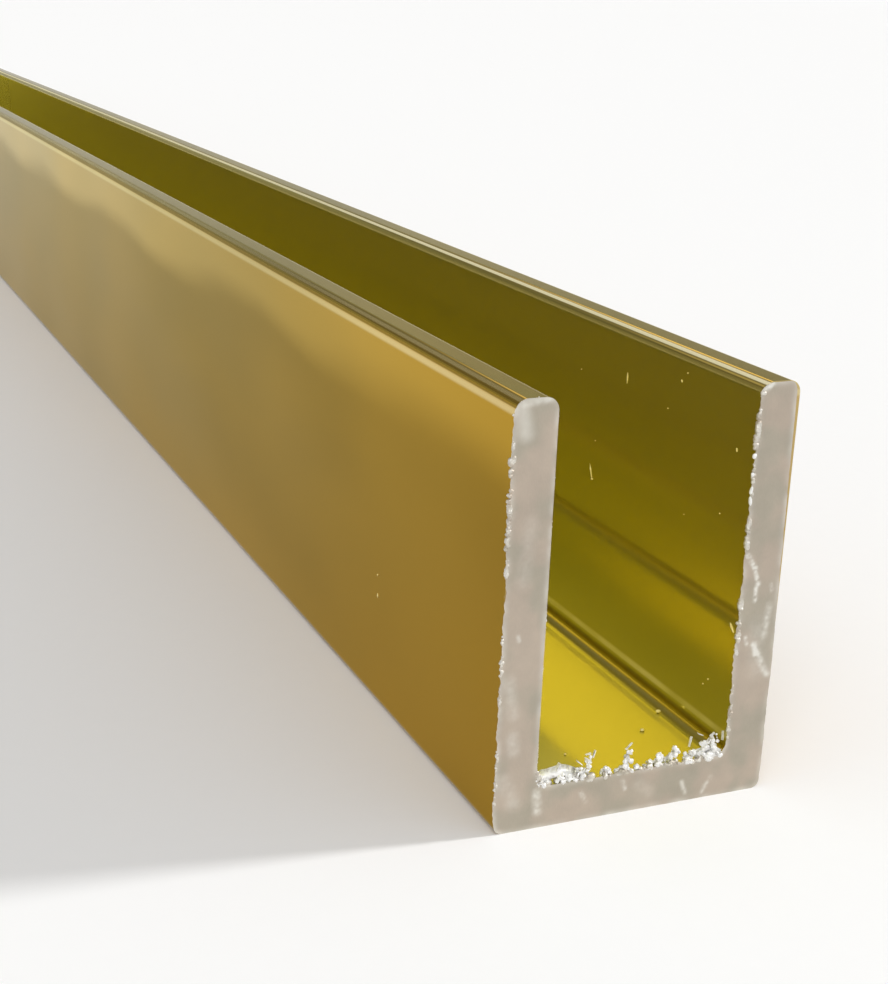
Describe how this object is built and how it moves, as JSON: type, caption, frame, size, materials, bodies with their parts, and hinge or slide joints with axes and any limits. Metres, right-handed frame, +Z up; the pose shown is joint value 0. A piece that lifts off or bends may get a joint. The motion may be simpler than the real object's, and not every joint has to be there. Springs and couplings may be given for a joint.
{
  "type": "aluminium u-channel",
  "caption": "Straight length of gold-anodised aluminium U-channel with rounded leg tips and sawn ends, an edge profile whose slot takes the edge of a panel or pane.",
  "frame": {"origin": "centre of the base's underside, half way along the length", "axes": "+Z up out of the open side, +Y along the length, +X across the two legs"},
  "size_m": [0.014, 0.5, 0.02],
  "materials": {
    "gold_anodised": "bright gold anodised, near mirror",
    "sawn_aluminium": "bare sawn metal, satin"
  },
  "bodies": {
    "root": {"u_channel": "gold_anodised"}
  },
  "joints": []
}
